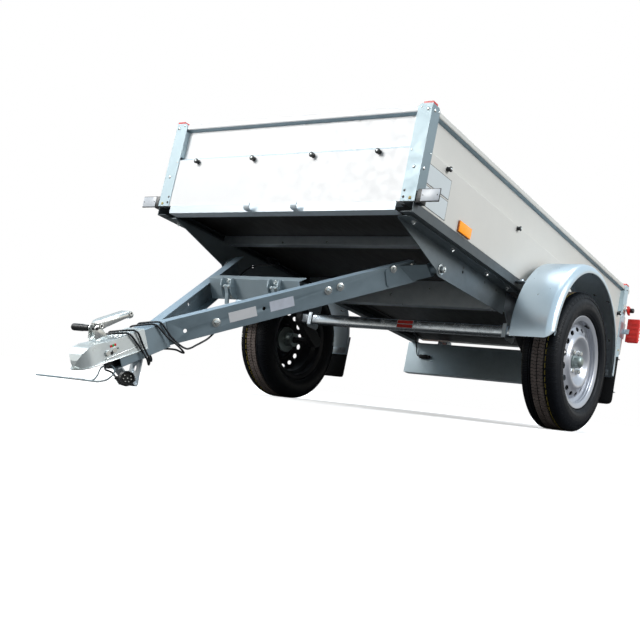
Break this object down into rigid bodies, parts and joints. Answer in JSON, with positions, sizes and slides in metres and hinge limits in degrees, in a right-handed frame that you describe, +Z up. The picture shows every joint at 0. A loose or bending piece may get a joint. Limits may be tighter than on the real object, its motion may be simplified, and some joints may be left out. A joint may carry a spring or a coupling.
{
  "type": "tipping car trailer",
  "caption": "Small tipping car trailer with an open sheet-metal box, hinged tailgate, A-frame drawbar on a tip hinge and a ball coupling.",
  "frame": {"origin": "on the floor, below the middle of the overall length and width, as the trailer parks on its wheels and on the foot under the drawbar's nose", "axes": "+Z up, +X to the trailer's left, -Y towards the coupling"},
  "size_m": [1.568, 2.8122, 1.0116],
  "materials": {
    "zinc": "hot-dip galvanised",
    "bright_zinc": "bright zinc-coated sheet",
    "dull_zinc": "dull grey galvanised",
    "plated": "yellowish zinc plate",
    "plywood": "dark film-faced plywood",
    "tyre": "matt black rubber",
    "rim": "silver paint",
    "arm_black": "satin black",
    "lamp_red": "clear red lens",
    "latch_red": "red plastic",
    "marker_white": "white reflector",
    "reflector_orange": "orange reflector",
    "flap_rubber": "matt black",
    "cable_black": "black cable sheath",
    "plug_black": "black rubber-like plastic",
    "steel_wire": "wire rope"
  },
  "bodies": {
    "bed": {"side_board_left": "bright_zinc", "side_board_right": "bright_zinc", "front_board": "bright_zinc", "floor_panel": "plywood", "post_front_left": "zinc", "post_front_right": "zinc", "post_rear_left": "zinc", "post_rear_right": "zinc", "front_sill": "zinc", "side_rail_left": "zinc", "side_rail_right": "zinc", "chassis_plate_left": "zinc", "chassis_plate_right": "zinc", "cross_beam": "zinc", "front_cross_beam": "zinc", "rear_beam": "zinc", "rear_lamp_left": "lamp_red", "rear_lamp_right": "lamp_red", "axle_tube": "zinc", "axle_bracket_left": "zinc", "axle_bracket_right": "zinc", "suspension_arm_left": "arm_black", "suspension_arm_right": "arm_black", "mudguard_left": "zinc", "mudguard_right": "zinc", "mudflap_left": "flap_rubber", "mudflap_right": "flap_rubber", "gate_latch_left": "latch_red", "gate_latch_right": "latch_red", "marker_lamp_left": "lamp_red", "marker_lamp_right": "lamp_red", "front_marker_left": "marker_white", "front_marker_right": "marker_white", "side_reflector_left": "reflector_orange", "side_reflector_right": "reflector_orange", "bed_cable": "cable_black", "lamp_connector": "plug_black"},
    "tailgate": {"tailgate": "bright_zinc"},
    "wheel_left": {"tyre_left": "tyre", "rim_left": "rim", "hub_left": "plated"},
    "wheel_right": {"tyre_right": "tyre", "rim_right": "rim", "hub_right": "plated"},
    "drawbar": {"drawbar_arm_left": "dull_zinc", "drawbar_arm_right": "dull_zinc", "drawbar_cross_member": "zinc", "nose_tube": "dull_zinc", "support_foot": "zinc", "coupling_head": "plated", "coupling_lever": "plated", "drawbar_cable": "cable_black", "cable_wraps": "cable_black", "cable_end": "cable_black", "plug": "plug_black", "wire_anchor": "plug_black", "safety_wire": "steel_wire", "safety_wire_ferrule": "plated", "safety_wire_loop": "steel_wire"}
  },
  "joints": [
    {"name": "wheel_left_spin", "type": "hinge", "parent": "bed", "child": "wheel_left", "pos_m": [0.7, 0.37735, 0.2735], "axis": [1, 0, 0], "continuous": true},
    {"name": "wheel_right_spin", "type": "hinge", "parent": "bed", "child": "wheel_right", "pos_m": [-0.7, 0.37735, 0.2735], "axis": [1, 0, 0], "continuous": true},
    {"name": "tip_hinge", "type": "hinge", "parent": "bed", "child": "drawbar", "pos_m": [0, -0.32213, 0.51136], "axis": [1, 0, 0], "range_deg": [-32, 20]},
    {"name": "tailgate_hinge", "type": "hinge", "parent": "bed", "child": "tailgate", "pos_m": [0, 1.33654, 0.37747], "axis": [-1, 0, 0], "range_deg": [0, 180]}
  ]
}
